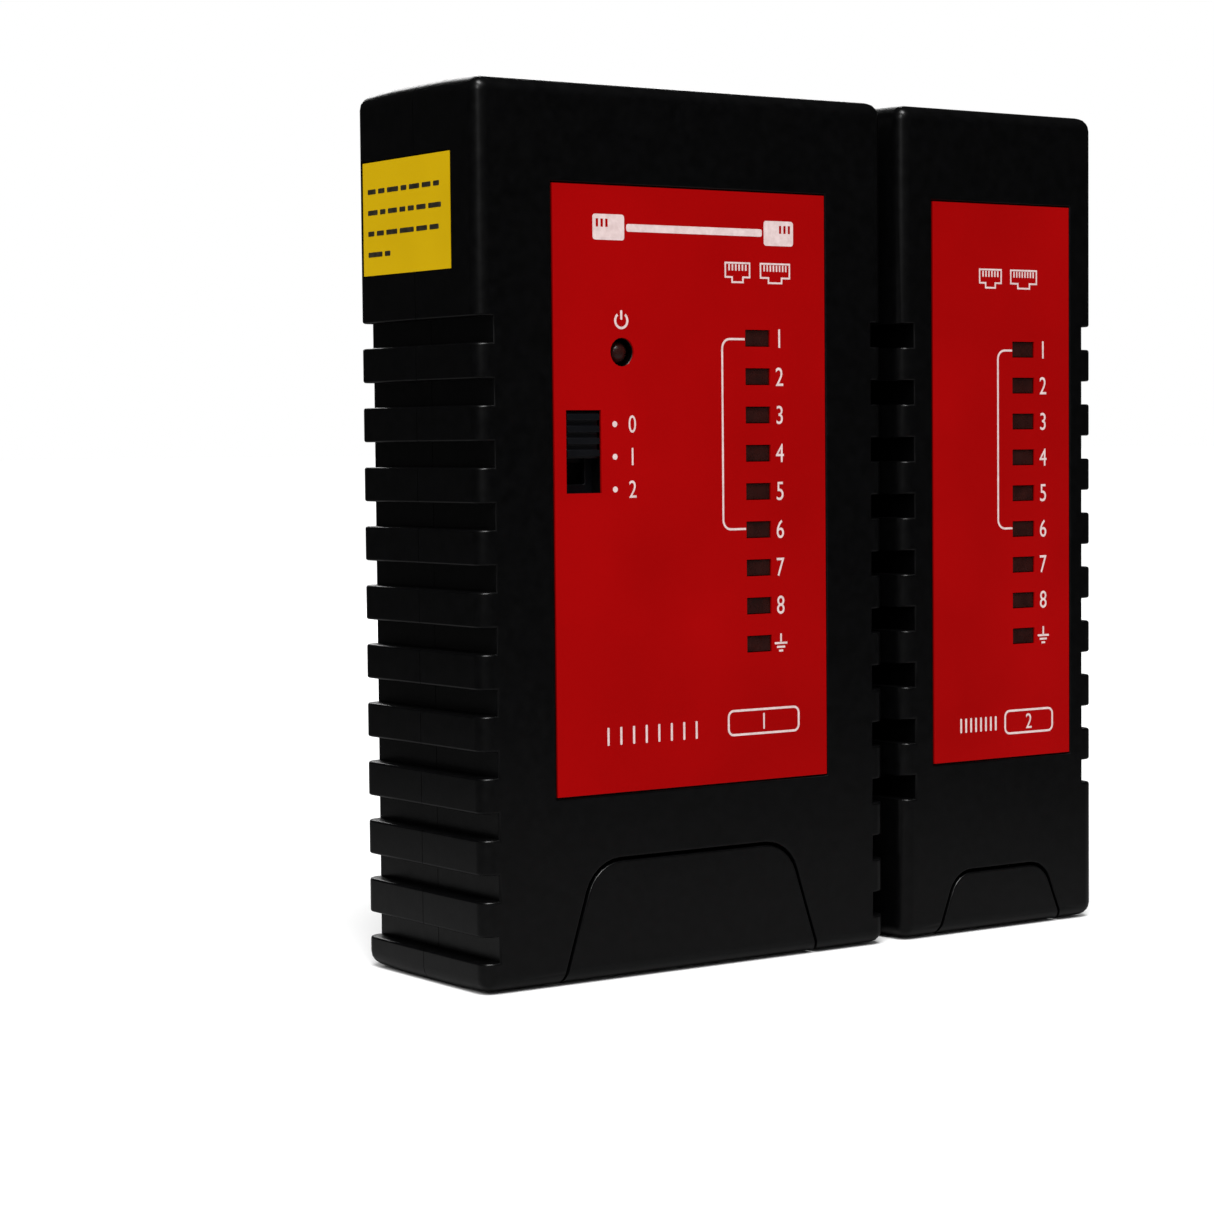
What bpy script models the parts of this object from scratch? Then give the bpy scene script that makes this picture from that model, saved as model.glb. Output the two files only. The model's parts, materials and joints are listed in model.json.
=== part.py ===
"""Network cable tester: a battery-powered master unit and a remote unit docked on its right side.

+X runs to the right of the front face, +Y from the front to the back, +Z up, and the origin is at
the centre of the base. Every dimension below is in millimetres; the builders turn them into metres.
"""

import math

import bmesh
import bpy
from mathutils import Matrix, Vector

MM = 0.001

# ---- Overall size ----
HEIGHT = 109.0
DEPTH = 28.0
MASTER_WIDTH = 62.0
REMOTE_WIDTH = 34.2
DOCK_GAP = 2.8
TOTAL_WIDTH = MASTER_WIDTH + DOCK_GAP + REMOTE_WIDTH
FRONT = -DEPTH / 2
BACK = DEPTH / 2

# ---- Moulded cases ----
EDGE_RADIUS = 1.8
CROWN = 0.3  # how far the ends fall away towards the front and back edges
CROWN_FLAT = 12.0  # depth of the flat strip in the middle of each end
FACE_WALL = 2.0
END_WALL = 2.4
SIDE_WALL = 4.0  # at the grip; the groove floors leave 1.8
UPPER_SIDE_WALL = 2.0  # above the grip, beside the jacks
UPPER_ZONE = 82.3
PARTING_GAP = 0.1
OVERSHOOT = 1.0  # how far a cutter reaches past what it cuts
BITE = 0.5  # how far a joined shape is sunk into the wall that carries it
CAVITY_FRONT = FRONT + FACE_WALL
CAVITY_BACK = BACK - FACE_WALL

# ---- Grip grooves ----
GROOVE_PITCH = 7.36
GROOVE_HEIGHT = 3.1
GROOVE_DEPTH = 2.2
FIRST_GROOVE = 77.5  # underside of the highest groove
MASTER_GROOVES = 11
REMOTE_GROOVES = 9

# ---- Battery cap and blanking cap: an arch on both faces, joined by a floor ----
CAP_SEAM = 0.4
CAP_FLOOR = 2.2
TAB = (10.0, 1.0, 3.0)  # width, thickness and rise above the arch of the tabs that hook inside the faces
TAB_GAP = 0.2
TAB_ROOTS = (1.0, 3.0)  # the tab leaves the plate from this far above the floor to this far under the arch
CAP_INSIDE = (3.0, 30.0)  # how far the cap's hollow reaches past its sides, and up

# ---- Faceplates ----
PLATE_THICKNESS = 0.3
PLATE_RECESS = 0.45
PLATE_BOTTOM, PLATE_TOP = 23.0, 96.5
MASTER_PLATE_WIDTH = 41.4
REMOTE_PLATE_WIDTH = 24.1
SEAT_GAP = 0.1  # between pieces that rest on each other
FILM_ROOM = 0.15  # between a film and the sides of its recess

# ---- Yellow side label ----
LABEL_Y = (-8.2, 12.2)
LABEL_Z = (86.4, 100.3)
LABEL_THICKNESS = 0.2
LABEL_SINK = 0.02  # its face lies this far under the plastic
LABEL_RECESS = 0.32

# ---- Lamps ----
LAMP_PITCH = 4.78
LAMP_SIZE = (3.7, 1.9)
LAMP_WINDOW = (3.9, 2.1)  # in the film; the wall behind it is open a little wider
WALL_WINDOW_EXTRA = 0.1
LAMP_SINK = 0.3  # a lamp's front lies this far behind the case's face
LAMP_FOOT = (0.6, 1.0)  # how much wider and higher than the lens, and how thick
LAMP_NAMES = ("1", "2", "3", "4", "5", "6", "7", "8", "g")
MASTER_LAMPS = (41.4, 78.4)  # from the unit's left side, and up from the base, of lamp 1
REMOTE_LAMPS = (21.3, 77.4)
POWER_LAMP = (20.7, 76.5)
POWER_LAMP_RADIUS = 1.5
POWER_HOLE_RADIUS = 1.75
POWER_FLANGE = (0.4, 1.0)  # how far it stands out, and its thickness
DOME_STEPS = 4

# ---- Three-position slide switch ----
SLOT_X = (12.4, 17.5)  # from the master's left side
SLOT_Z = (59.5, 69.5)
KNOB_HEIGHT = 5.6
SWITCH_TRAVEL = 4.0
SLIDE_GAP = 0.2
SWITCH_FRAME = (7.0, 13.4)  # width and height
SWITCH_CHAMBER = (5.6, 12.0)
SWITCH_WALL = 0.6
SWITCH_REACH = 0.3  # the frame's front stands this far behind the case's inner face
SLIDER = (5.0, 6.6)
STEM = (2.6, 3.4)
STEM_REACH = 0.8  # how far the stem stands into the slot from the case's inner face
GATE_ROOM = 0.6  # how much wider than the stem its gate is
SOCKET_ROOM = (0.2, 0.1)  # round the stem and past its end, in the knob's socket
KNOB_SINK = 0.5
RIDGES = 4
RIDGE_PITCH = 1.45
RIDGE_WIDTH = 0.8
RIDGE_SINK = 0.05
RIDGE_HEIGHT = 0.65

# ---- Circuit boards ----
BOARD_THICKNESS = 1.6
BOARD_FRONT = -8.7
BOARD_BACK = BOARD_FRONT + BOARD_THICKNESS
BOARD_BOTTOM, BOARD_TOP = 36.0, 105.0
BOARD_SHOULDER = 93.0  # above it the master's board is narrower, to clear the upper bosses
BOARD_NOTCH = 8.4
BOARD_EDGE = 0.4  # between the board and the side walls
BOARD_HOLE_ROOM = (0.3, 0.5)  # round a board screw, and round a boss

# ---- Modular jacks: size over the board is width, height, depth ----
JACK_HEIGHT = 13.2
JACK_DEPTH = 17.6
JACK_FACE = HEIGHT - 0.4
JACK_FRONT = BOARD_BACK + SEAT_GAP
SOCKET_FLOOR, SOCKET_CEILING = 3.4, 10.5  # above the board
SOCKET_DEPTH = 14.0
LATCH = (6.2, 1.4)  # width, and depth below the socket's floor
KEY = (3.4, 2.3)
LATCH_LENGTH = 9.0
INSERT_DEPTH = 2.8
INSERT_MARGIN = 0.3  # the insert is this much narrower than the socket, on each side
INSERT_LIFT = 0.1  # from the housing's lower end
CONTACT_PITCH = 1.02
CONTACT_WIDTH = 0.45
CONTACT_ROOT = JACK_DEPTH - INSERT_DEPTH + 0.4  # below the mouth, in the insert
# A contact's side, wire and spring: how far from the socket's far wall, and how far below the mouth.
CONTACT_SIDE = [
    (0.5, CONTACT_ROOT), (0.5, 2.4), (0.9, 2.25), (2.25, 10.0), (1.95, 10.3), (0.95, 4.6),
    (0.9, CONTACT_ROOT),
]
RJ45 = {"width": 15.4, "socket": 11.9, "contacts": 8}
RJ11 = {"width": 12.4, "socket": 9.8, "contacts": 6}
MASTER_JACK_SPACING = 3.0
REMOTE_JACK_SPACING = 0.4
RIB_LEAST = 0.6  # jacks closer than twice this share one opening in the end wall

# ---- Parts on the back of the master's board: places are from its left side and up from the base ----
CHIP_PITCH = 2.54
CHIP_BODY = (3.1, 6.3)  # thickness and width over the board
CHIP_LIFT = 0.5
CHIP_END = 0.6
LEG = (0.8, 2.0, 7.6)  # width, height and the span over both rows
TIMER_CHIP = (17.0, 80.0)
COUNTER_CHIP = (38.0, 80.0)
CAPACITOR = (50.5, 66.0)
CAPACITOR_RADIUS = 2.5
CAPACITOR_LENGTH = 7.0

# ---- Case and board screws ----
BOSS_RADIUS = 3.0
POST_RADIUS = 4.0
PILOT_RADIUS = 1.5
CLEARANCE_RADIUS = 1.7
COUNTERBORE_RADIUS = 3.0
COUNTERBORE_FLOOR = 5.0
CASE_SCREW_RADIUS = 1.3
CASE_HEAD_RADIUS = 2.7
BOARD_SCREW_RADIUS = 0.8
BOARD_HEAD_RADIUS = 1.8
CASE_HEAD_HEIGHT = 1.9
BOARD_HEAD_HEIGHT = 1.3
CASE_TIP, BOARD_TIP = 3.5, 0.6  # from the inside of the front face to a screw's tip
HEAD_BITE = 0.3  # how far a screw's shank is sunk into its head
BOARD_PILOT_ROOM = 0.15
POST_GAP = 0.2  # between a boss or a post and the parting plane
RECESS = (1.1, 0.28, 0.8)  # a cross recess: arm and blade as parts of the head's radius, and depth
STANDOFF_RADIUS = 2.3
MASTER_BOSSES = ((8.0, 99.0), (54.0, 99.0), (8.5, 21.0), (53.5, 21.0))
REMOTE_BOSSES = ((10.5, 84.5), (16.9, 18.0))
MASTER_STANDOFFS = ((8.5, 88.0), (54.0, 40.5))
REMOTE_STANDOFFS = ((26.5, 84.0),)

# ---- Dock: an undercut channel on the master holds a T-shaped tongue on the remote ----
CHANNEL_BOTTOM, CHANNEL_TOP = 2.0, 100.0
CHANNEL_STOP = 2.0
RAIL_WALL = (6.2, 8.2)
RAIL_LIP = 4.2
LIP_THICKNESS = 1.1
TONGUE_HEAD = (5.9, 0.8)
TONGUE_NECK = 3.9
DOCK_CLEARANCE = 0.3

# ---- Nine-volt battery and its wiring ----
BATTERY = (26.2, 17.0, 46.4)
BATTERY_BACK = 10.5
BATTERY_BOTTOM = CAP_FLOOR + 0.4
TERMINAL_SPACING = 12.7
POSITIVE_RADIUS, NEGATIVE_RADIUS = 2.8, 3.9
TERMINAL_HEIGHT = 2.0
SNAP = (25.0, 11.0, 3.4)
BAY_WALL = 1.2
BAY_CLEARANCE = 0.4
BAY_FRONT = -3.0
BAY_FOOT = 3.0  # above the cap's arch
BAY_HEADROOM = 1.0  # above the snap
BATTERY_ROUND = 1.2
SNAP_ROOM = 0.2
# A lead's bends: across from the unit's middle, then forward of the snap's front or behind the board, and up
# from the middle of the snap.
LEAD_AT_SNAP = [(4, 0, 0), (4, 1.2, 0.4), (4, 2.1, 3.4), (5, 2.1, 6.6)]
LEAD_AT_BOARD = [(5, 1.2, 8.6), (5, 0, 8.8)]
WIRE_RADIUS = 0.65

MATERIALS = {  # colour, roughness, metallic
    "case_plastic": ((0.012, 0.012, 0.013), 0.42, 0.0),
    "faceplate_film": ((0.55, 0.004, 0.008), 0.38, 0.0),
    "caution_film": ((0.85, 0.62, 0.01), 0.45, 0.0),
    "lamp_lens": ((0.03, 0.035, 0.02), 0.25, 0.0),
    "jack_plastic": ((0.02, 0.02, 0.02), 0.5, 0.0),
    "contact_gold": ((0.83, 0.6, 0.2), 0.3, 1.0),
    "board_laminate": ((0.01, 0.16, 0.06), 0.5, 0.0),
    "plated_steel": ((0.6, 0.6, 0.6), 0.35, 1.0),
    "switch_plastic": ((0.015, 0.015, 0.017), 0.4, 0.0),
    "chip_epoxy": ((0.02, 0.02, 0.022), 0.6, 0.0),
    "capacitor_sleeve": ((0.02, 0.03, 0.12), 0.4, 0.0),
    "battery_jacket": ((0.05, 0.06, 0.07), 0.4, 0.3),
    "wire_red": ((0.5, 0.02, 0.02), 0.5, 0.0),
    "wire_black": ((0.02, 0.02, 0.02), 0.5, 0.0),
}


class Unit:
    """One of the two cases: its name, its sides, and what is where on it."""

    def __init__(
        self, name, left, width, grooves, plate_width, plate_offset, lamps, cap, bosses, standoffs
    ):
        self.name = name
        self.left = left
        self.right = left + width
        self.centre = left + width / 2
        self.grooves = grooves
        plate_centre = self.centre + plate_offset
        self.plate = (plate_centre - plate_width / 2, plate_centre + plate_width / 2)
        self.lamp_x = left + lamps[0]
        self.lamp_z = [lamps[1] - LAMP_PITCH * i for i in range(len(LAMP_NAMES))]
        self.cap = cap
        self.bosses = [(left + x, z) for x, z in bosses]
        self.standoffs = [(left + x, z) for x, z in standoffs]


# A cap is its half-width at the base, its height, the lean of its sides and its corner radius.
MASTER = Unit(
    "master", -TOTAL_WIDTH / 2, MASTER_WIDTH, MASTER_GROOVES, MASTER_PLATE_WIDTH, 0.4,
    MASTER_LAMPS, (19.5, 14.6, math.radians(18), 5.0), MASTER_BOSSES, MASTER_STANDOFFS,
)
REMOTE = Unit(
    "remote", TOTAL_WIDTH / 2 - REMOTE_WIDTH, REMOTE_WIDTH, REMOTE_GROOVES, REMOTE_PLATE_WIDTH, 0.4,
    REMOTE_LAMPS, (10.9, 8.1, math.radians(22), 3.5), REMOTE_BOSSES, REMOTE_STANDOFFS,
)


# ---------------------------------------------------------------- scene and modelling tools


def clear_scene():
    for obj in list(bpy.data.objects):
        bpy.data.objects.remove(obj)


def new_collection(name):
    collection = bpy.data.collections.new(name)
    bpy.context.scene.collection.children.link(collection)
    return collection


def make_materials():
    made = {}
    for name, (colour, roughness, metallic) in MATERIALS.items():
        material = bpy.data.materials.new(name)
        material.use_nodes = True
        shader = material.node_tree.nodes["Principled BSDF"]
        shader.inputs["Base Color"].default_value = (*colour, 1.0)
        shader.inputs["Roughness"].default_value = roughness
        shader.inputs["Metallic"].default_value = metallic
        made[name] = material
    return made


def add_object(name, mesh, location, material):
    """A piece gets a material; with none, the object is a cutter or another helper."""
    obj = bpy.data.objects.new(name, mesh)
    obj.location = Vector(location) * MM
    if material:
        mesh.materials.append(paint[material])
        pieces.objects.link(obj)
    else:
        cutters.objects.link(obj)
        obj.hide_render = True
        obj.display_type = "WIRE"
    return obj


def middle(span):
    return (span[0] + span[1]) / 2


def around(centre, size):
    return (centre - size / 2, centre + size / 2)


def past(span):
    """A cutter's span over this one: past both its ends."""
    return (span[0] - OVERSHOOT, span[1] + OVERSHOOT)


def add_cube(bm, x, y, z, origin):
    """Adds a box with these spans to bm, measured from origin."""
    size = Vector([high - low for low, high in (x, y, z)]) * MM
    centre = (Vector([middle(x), middle(y), middle(z)]) - Vector(origin)) * MM
    bmesh.ops.create_cube(bm, size=1.0, matrix=Matrix.Translation(centre) @ Matrix.Diagonal((*size, 1.0)))


def mesh_from(name, bm):
    mesh = bpy.data.meshes.new(name)
    bm.to_mesh(mesh)
    bm.free()
    return mesh


def boxes(name, spans, material=None):
    """One object holding a box for each (x, y, z) in spans, with its origin at the first box's centre."""
    origin = [middle(span) for span in spans[0]]
    bm = bmesh.new()
    for x, y, z in spans:
        add_cube(bm, x, y, z, origin)
    return add_object(name, mesh_from(name, bm), origin, material)


def box(name, x, y, z, material=None):
    return boxes(name, [(x, y, z)], material)


def cylinders(name, radius, y, centres, material=None, segments=20):
    """One object holding a cylinder along Y for each (x, z) in centres."""
    origin = (centres[0][0], middle(y), centres[0][1])
    upright = Matrix.Rotation(math.pi / 2, 4, "X")
    bm = bmesh.new()
    for x, z in centres:
        shift = Matrix.Translation(Vector((x - origin[0], 0, z - origin[2])) * MM)
        bmesh.ops.create_cone(
            bm, cap_ends=True, segments=segments, radius1=radius * MM, radius2=radius * MM,
            depth=(y[1] - y[0]) * MM, matrix=shift @ upright,
        )
    return add_object(name, mesh_from(name, bm), origin, material)


def mesh_of_curve(name, curve):
    """The curve's closed mesh: caps welded and each flat face in one piece, so that it can be rounded."""
    temporary = bpy.data.objects.new(name, curve)
    bpy.context.scene.collection.objects.link(temporary)
    graph = bpy.context.evaluated_depsgraph_get()
    mesh = bpy.data.meshes.new_from_object(temporary.evaluated_get(graph))
    bpy.data.objects.remove(temporary)
    bm = bmesh.new()
    bm.from_mesh(mesh)
    bmesh.ops.remove_doubles(bm, verts=bm.verts, dist=0.001 * MM)
    bmesh.ops.dissolve_limit(bm, angle_limit=math.radians(0.1), verts=bm.verts, edges=bm.edges)
    bm.to_mesh(mesh)
    bm.free()
    return mesh


def extruded(name, outline, along, span, material=None):
    """A flat outline made solid. Along X it is a list of (y, z); along Y, of (x, z); along Z, of (x, y)."""
    curve = bpy.data.curves.new(name, "CURVE")
    curve.dimensions = "2D"
    curve.fill_mode = "BOTH"
    curve.extrude = (span[1] - span[0]) / 2 * MM
    spline = curve.splines.new("POLY")
    spline.points.add(len(outline) - 1)
    for point, (u, v) in zip(spline.points, outline):
        point.co = (u * MM, v * MM, 0, 1)
    spline.use_cyclic_u = True
    mesh = mesh_of_curve(name, curve)
    turns = {
        "x": Matrix(((0, 0, 1), (1, 0, 0), (0, 1, 0))),
        "y": Matrix(((1, 0, 0), (0, 0, -1), (0, 1, 0))),
        "z": Matrix.Identity(3),
    }
    mesh.transform(turns[along].to_4x4())
    origin = {"x": (middle(span), 0, 0), "y": (0, middle(span), 0), "z": (0, 0, middle(span))}[along]
    return add_object(name, mesh, origin, material)


def turned(name, profile, location, material, steps=16):
    """A solid turned about the Y axis. profile lists (radius, distance forwards) down its outer side."""
    bm = bmesh.new()
    points = [bm.verts.new((radius * MM, 0, along * MM)) for radius, along in profile]
    for first, second in zip(points, points[1:]):
        bm.edges.new((first, second))
    obj = add_object(name, mesh_from(name, bm), location, material)
    obj.rotation_euler = (math.pi / 2, 0, 0)
    screw = obj.modifiers.new("turn", "SCREW")
    screw.steps = steps
    screw.render_steps = steps
    screw.use_merge_vertices = True
    screw.merge_threshold = 0.00001
    return obj


def wire(name, points, radius, material):
    """A round wire through the given points, smoothed, with closed ends."""
    curve = bpy.data.curves.new(name, "CURVE")
    curve.dimensions = "3D"
    curve.bevel_depth = radius * MM
    curve.bevel_resolution = 2
    curve.use_fill_caps = True
    spline = curve.splines.new("POLY")
    smooth = smooth_path(points)
    spline.points.add(len(smooth) - 1)
    for point, place in zip(spline.points, smooth):
        point.co = (*(place * MM), 1)
    return add_object(name, mesh_of_curve(name, curve), (0, 0, 0), material)


def smooth_path(points, steps=4):
    """Points along a Catmull-Rom curve through the given ones."""
    knots = [Vector(p) for p in points]
    knots = [knots[0] * 2 - knots[1], *knots, knots[-1] * 2 - knots[-2]]
    path = []
    for a, b, c, d in zip(knots, knots[1:], knots[2:], knots[3:]):
        for step in range(steps):
            t = step / steps
            square = (a * 2 - b * 5 + c * 4 - d) * t**2
            cube = (b * 3 - a - c * 3 + d) * t**3
            path.append((b * 2 + (c - a) * t + square + cube) / 2)
    return [*path, knots[-2]]


def change(obj, operation, *others):
    """Adds a Boolean modifier for each helper in others."""
    for other in others:
        modifier = obj.modifiers.new(other.name, "BOOLEAN")
        modifier.operation = operation
        modifier.object = other


def cut(obj, *others):
    change(obj, "DIFFERENCE", *others)


def join(obj, *others):
    change(obj, "UNION", *others)


def keep(obj, *others):
    change(obj, "INTERSECT", *others)


def round_edges(obj, width, segments=2, angle=math.radians(30)):
    modifier = obj.modifiers.new("rounded", "BEVEL")
    modifier.width = width * MM
    modifier.segments = segments
    modifier.limit_method = "ANGLE"
    modifier.angle_limit = angle


# ---------------------------------------------------------------- cases


def case_block(name, unit, material):
    """The outer form of a whole unit: a rounded block whose ends are slightly crowned."""
    flat = CROWN_FLAT / 2
    outline = [
        (FRONT, CROWN), (-flat, 0), (flat, 0), (BACK, CROWN),
        (BACK, HEIGHT - CROWN), (flat, HEIGHT), (-flat, HEIGHT), (FRONT, HEIGHT - CROWN),
    ]
    block = extruded(name, outline, "x", (unit.left, unit.right), material)
    round_edges(block, EDGE_RADIUS, segments=4)
    return block


def half_box(name, unit, y):
    """A box over the part of a unit between two depths."""
    return box(name, past((unit.left, unit.right)), y, past((0, HEIGHT)))


def grooves(unit):
    """The grip grooves of both sides, as one cutter."""
    spans = []
    for i in range(unit.grooves):
        bottom = FIRST_GROOVE - GROOVE_PITCH * i
        height = (bottom, bottom + GROOVE_HEIGHT)
        depth = past((FRONT, BACK))
        spans.append(((unit.left - OVERSHOOT, unit.left + GROOVE_DEPTH), depth, height))
        spans.append(((unit.right - GROOVE_DEPTH, unit.right + OVERSHOOT), depth, height))
    return boxes(f"{unit.name}_grooves", spans)


def cavity(unit):
    """The hollow inside both shells, wider above the grip to make room for the jacks."""
    narrow = (unit.left + SIDE_WALL, unit.right - SIDE_WALL)
    wide = (unit.left + UPPER_SIDE_WALL, unit.right - UPPER_SIDE_WALL)
    slope_top = UPPER_ZONE + SIDE_WALL - UPPER_SIDE_WALL
    outline = [
        (narrow[0], END_WALL), (narrow[1], END_WALL), (narrow[1], UPPER_ZONE), (wide[1], slope_top),
        (wide[1], HEIGHT - END_WALL), (wide[0], HEIGHT - END_WALL), (wide[0], slope_top),
        (narrow[0], UPPER_ZONE),
    ]
    return extruded(f"{unit.name}_cavity", outline, "y", (CAVITY_FRONT, CAVITY_BACK))


def arch(unit, margin):
    """The outline of a unit's cap in X and Z, grown by margin: leaning sides and rounded upper corners."""
    half_base, height, lean, radius = unit.cap
    top = height + margin
    half_base += margin / math.cos(lean)
    corner = half_base - top * math.tan(lean)
    reach = (radius + margin) * math.tan(math.pi / 4 - lean / 2)
    centre = (corner - reach, top - radius - margin)
    below = -2 * OVERSHOOT
    right = [(half_base - below * math.tan(lean), below)]
    for i in range(7):
        angle = lean + (math.pi / 2 - lean) * i / 6
        right.append((
            centre[0] + (radius + margin) * math.cos(angle),
            centre[1] + (radius + margin) * math.sin(angle),
        ))
    outline = right + [(-x, z) for x, z in reversed(right)]
    return [(unit.centre + x, z) for x, z in outline]


def jack_spans(unit):
    """The X spans of a unit's two jacks, RJ45 on the left."""
    spacing = MASTER_JACK_SPACING if unit is MASTER else REMOTE_JACK_SPACING
    start = unit.centre - (RJ45["width"] + spacing + RJ11["width"]) / 2
    split = start + RJ45["width"]
    return (start, split), (split + spacing, split + spacing + RJ11["width"])


def jack_openings(unit):
    margin = 2 * SEAT_GAP
    y = (JACK_FRONT - margin, JACK_FRONT + JACK_HEIGHT + margin)
    z = past((HEIGHT - END_WALL, HEIGHT))
    (left, left_end), (right, right_end) = jack_spans(unit)
    if right - left_end < 2 * RIB_LEAST:
        spans = [((left - margin, right_end + margin), y, z)]
    else:
        spans = [((left - margin, left_end + margin), y, z), ((right - margin, right_end + margin), y, z)]
    return boxes(f"{unit.name}_jack_openings", spans)


def rail(name, side):
    """One L-shaped rail of the master's dock channel. side is -1 for the front rail, 1 for the rear one."""
    face = MASTER.right
    tip = REMOTE.left - DOCK_CLEARANCE
    lip = tip - LIP_THICKNESS
    root = face - GROOVE_DEPTH - BITE
    wall_inner, wall_outer = RAIL_WALL
    outline = [
        (root, wall_inner), (lip, wall_inner), (lip, RAIL_LIP),
        (tip, RAIL_LIP), (tip, wall_outer), (root, wall_outer),
    ]
    return extruded(name, [(x, side * y) for x, y in outline], "z", (CHANNEL_BOTTOM, CHANNEL_TOP))


def channel_stop(name, y):
    """The block that closes the foot of the dock channel."""
    x = (MASTER.right - GROOVE_DEPTH - BITE, REMOTE.left - DOCK_CLEARANCE)
    return box(name, x, y, (CHANNEL_BOTTOM, CHANNEL_BOTTOM + CHANNEL_STOP))


def dock_tongue(name, side):
    """One half of the remote's T-shaped tongue. side is -1 for the front half, 1 for the rear one."""
    head_half, head_thickness = TONGUE_HEAD
    tip = MASTER.right + DOCK_CLEARANCE
    root = REMOTE.left + GROOVE_DEPTH + BITE
    inner = PARTING_GAP / 2
    outline = [
        (tip, inner), (root, inner), (root, TONGUE_NECK), (tip + head_thickness, TONGUE_NECK),
        (tip + head_thickness, head_half), (tip, head_half),
    ]
    bottom = CHANNEL_BOTTOM + CHANNEL_STOP + DOCK_CLEARANCE
    return extruded(name, [(x, side * y) for x, y in outline], "z", (bottom, CHANNEL_TOP))


def lamp_windows(unit, size, y):
    width, height = size
    spans = [(around(unit.lamp_x, width), y, around(z, height)) for z in unit.lamp_z]
    return boxes(f"{unit.name}_lamp_windows_{width:g}", spans)


def front_shell(unit):
    """The front half: outer form, grip, faceplate recess, lamp windows, screw bosses and board standoffs."""
    name = f"{unit.name}_front_shell"
    shell = case_block(name, unit, "case_plastic")
    edge = -PARTING_GAP / 2
    keep(shell, half_box(f"{name}_half", unit, (FRONT - OVERSHOOT, edge)))
    cut(shell, grooves(unit), cavity(unit))
    boss_foot = CAVITY_FRONT - BITE
    join(
        shell,
        cylinders(f"{name}_bosses", BOSS_RADIUS, (boss_foot, edge - POST_GAP), unit.bosses),
        cylinders(f"{name}_standoffs", STANDOFF_RADIUS, (boss_foot, BOARD_FRONT - SEAT_GAP), unit.standoffs),
    )
    join(shell, *dock_parts(unit, name, -1))
    board_pilot = BOARD_SCREW_RADIUS + BOARD_PILOT_ROOM
    wall_window = [size + WALL_WINDOW_EXTRA for size in LAMP_WINDOW]
    cut(
        shell,
        cylinders(f"{name}_pilots", PILOT_RADIUS, (CAVITY_FRONT + 1, OVERSHOOT), unit.bosses, segments=12),
        cylinders(
            f"{name}_board_pilots", board_pilot, (CAVITY_FRONT, BOARD_BACK), unit.standoffs, segments=12
        ),
        box(
            f"{name}_plate_recess",
            (unit.plate[0] - FILM_ROOM, unit.plate[1] + FILM_ROOM),
            (FRONT - OVERSHOOT, FRONT + PLATE_RECESS),
            (PLATE_BOTTOM - FILM_ROOM, PLATE_TOP + FILM_ROOM),
        ),
        lamp_windows(unit, wall_window, past((FRONT, CAVITY_FRONT))),
        jack_openings(unit),
        extruded(f"{name}_cap_opening", arch(unit, CAP_SEAM), "y", (FRONT - OVERSHOOT, OVERSHOOT)),
    )
    return shell


def rear_shell(unit):
    """The rear half: outer form, grip and the posts that the case screws pass through."""
    name = f"{unit.name}_rear_shell"
    shell = case_block(name, unit, "case_plastic")
    edge = PARTING_GAP / 2
    keep(shell, half_box(f"{name}_half", unit, (edge, BACK + OVERSHOOT)))
    cut(shell, grooves(unit), cavity(unit))
    join(shell, cylinders(f"{name}_posts", POST_RADIUS, (edge + POST_GAP, CAVITY_BACK + BITE), unit.bosses))
    join(shell, *dock_parts(unit, name, 1))
    if unit is MASTER:
        join(shell, battery_bay())
    cut(
        shell,
        cylinders(f"{name}_holes", CLEARANCE_RADIUS, (-OVERSHOOT, BACK), unit.bosses, segments=16),
        cylinders(
            f"{name}_counterbores", COUNTERBORE_RADIUS, (COUNTERBORE_FLOOR, BACK + OVERSHOOT), unit.bosses
        ),
        jack_openings(unit),
        extruded(f"{name}_cap_opening", arch(unit, CAP_SEAM), "y", past((0, BACK))),
    )
    return shell


def dock_parts(unit, name, side):
    """What a shell carries of the dock: a rail and half of the stop, or half of the tongue."""
    if unit is REMOTE:
        return [dock_tongue(f"{name}_dock", side)]
    reach = sorted((side * PARTING_GAP / 2, side * (RAIL_WALL[0] + BITE)))
    return [rail(f"{name}_rail", side), channel_stop(f"{name}_stop", reach)]


def battery_bay():
    """Three walls in the rear shell that hold the battery at its sides and above its connector."""
    half = BATTERY[0] / 2 + BAY_CLEARANCE
    left, right = MASTER.centre - half, MASTER.centre + half
    y = (BAY_FRONT, CAVITY_BACK + BITE)
    ceiling = BATTERY_BOTTOM + BATTERY[2] + SEAT_GAP + SNAP[2] + BAY_HEADROOM
    foot = MASTER.cap[1] + BAY_FOOT
    outline = [
        (left - BAY_WALL, foot), (left, foot), (left, ceiling), (right, ceiling), (right, foot),
        (right + BAY_WALL, foot), (right + BAY_WALL, ceiling + BAY_WALL),
        (left - BAY_WALL, ceiling + BAY_WALL),
    ]
    return extruded("battery_bay", outline, "y", y)


def cap(name, unit):
    """A cap: the unit's outer form inside the arch, hollowed to a front plate, a floor and a rear plate."""
    piece = case_block(name, unit, "case_plastic")
    keep(piece, extruded(f"{name}_form", arch(unit, 0), "y", past((FRONT, BACK))))
    width = 2 * (unit.cap[0] + CAP_INSIDE[0])
    hollow = (around(unit.centre, width), (CAVITY_FRONT, CAVITY_BACK), (CAP_FLOOR, CAP_INSIDE[1]))
    cut(piece, box(f"{name}_hollow", *hollow))
    for i, side in enumerate((-1, 1)):
        join(piece, cap_tab(f"{name}_tab_{i}", unit, side))
    return piece


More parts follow.
